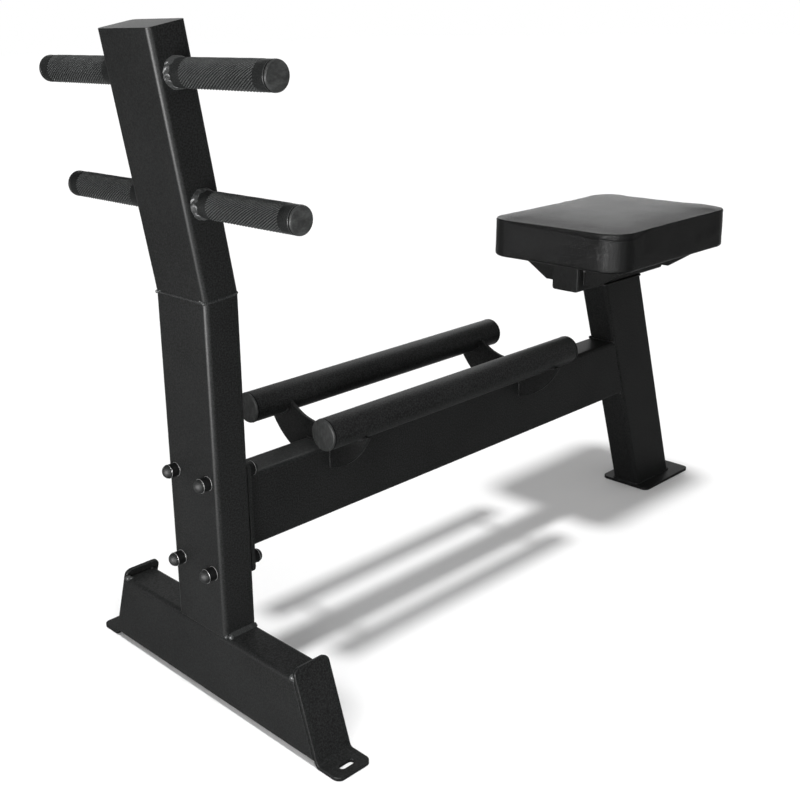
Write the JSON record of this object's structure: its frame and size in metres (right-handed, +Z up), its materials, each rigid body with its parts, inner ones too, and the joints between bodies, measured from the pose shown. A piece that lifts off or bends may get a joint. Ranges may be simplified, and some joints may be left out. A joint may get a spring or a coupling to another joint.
{
  "type": "seal row bench",
  "caption": "Free-standing strength bench: leaning upright with knurled handles, low beam with two round rails on crescent saddles, and a short padded seat on a leaning post.",
  "frame": {"origin": "on the floor, in the middle of the bench's length and width", "axes": "+X from the upright with the handles towards the pad, +Y to the left seen from behind the handles, +Z up"},
  "size_m": [1.39, 0.604, 1.0168],
  "materials": {
    "frame_powder_coat": "satin black powder coat",
    "black_plastic": "satin moulded plastic",
    "fastener_steel": "zinc-plated",
    "pad_cover": "black coated upholstery fabric, lightly grained",
    "plywood": "raw plywood"
  },
  "bodies": {
    "root": {"front_foot_tube": "frame_powder_coat", "foot_end_plate_left": "frame_powder_coat", "foot_end_plate_right": "frame_powder_coat", "upright_lower_tube": "frame_powder_coat", "upright_upper_tube": "frame_powder_coat", "upright_top_cap": "frame_powder_coat", "main_beam_tube": "frame_powder_coat", "beam_flange_plate": "frame_powder_coat", "front_saddle_plate": "frame_powder_coat", "rear_saddle_plate": "frame_powder_coat", "rail_left": "frame_powder_coat", "rail_right": "frame_powder_coat", "rear_post_tube": "frame_powder_coat", "rear_floor_plate": "frame_powder_coat", "seat_support_tube": "frame_powder_coat", "seat_bracket_front_left": "frame_powder_coat", "seat_bracket_front_right": "frame_powder_coat", "seat_bracket_rear_left": "frame_powder_coat", "seat_bracket_rear_right": "frame_powder_coat", "handle_top_left": "frame_powder_coat", "handle_bottom_left": "frame_powder_coat", "handle_top_right": "frame_powder_coat", "handle_bottom_right": "frame_powder_coat", "handle_plug_top_left": "black_plastic", "handle_plug_bottom_left": "black_plastic", "handle_plug_top_right": "black_plastic", "handle_plug_bottom_right": "black_plastic", "bolt_head_cap_top_left": "black_plastic", "bolt_head_cap_bottom_left": "black_plastic", "bolt_head_cap_top_right": "black_plastic", "bolt_head_cap_bottom_right": "black_plastic", "nut_cap_top_left": "black_plastic", "nut_cap_bottom_left": "black_plastic", "nut_cap_top_right": "black_plastic", "nut_cap_bottom_right": "black_plastic", "rail_plug_front_left": "black_plastic", "rail_plug_front_right": "black_plastic", "rail_plug_rear_left": "black_plastic", "rail_plug_rear_right": "black_plastic", "seat_tube_plug_front": "black_plastic", "seat_tube_plug_rear": "black_plastic", "flange_bolt_top_left": "fastener_steel", "flange_bolt_bottom_left": "fastener_steel", "flange_bolt_top_right": "fastener_steel", "flange_bolt_bottom_right": "fastener_steel", "flange_nut_top_left": "fastener_steel", "flange_nut_bottom_left": "fastener_steel", "flange_nut_top_right": "fastener_steel", "flange_nut_bottom_right": "fastener_steel", "pad_tee_nut_front_left": "fastener_steel", "pad_tee_nut_front_right": "fastener_steel", "pad_tee_nut_rear_left": "fastener_steel", "pad_tee_nut_rear_right": "fastener_steel", "pad_screw_front_left": "fastener_steel", "pad_screw_front_right": "fastener_steel", "pad_screw_rear_left": "fastener_steel", "pad_screw_rear_right": "fastener_steel", "seat_cushion": "pad_cover", "pad_board": "plywood"}
  },
  "joints": []
}
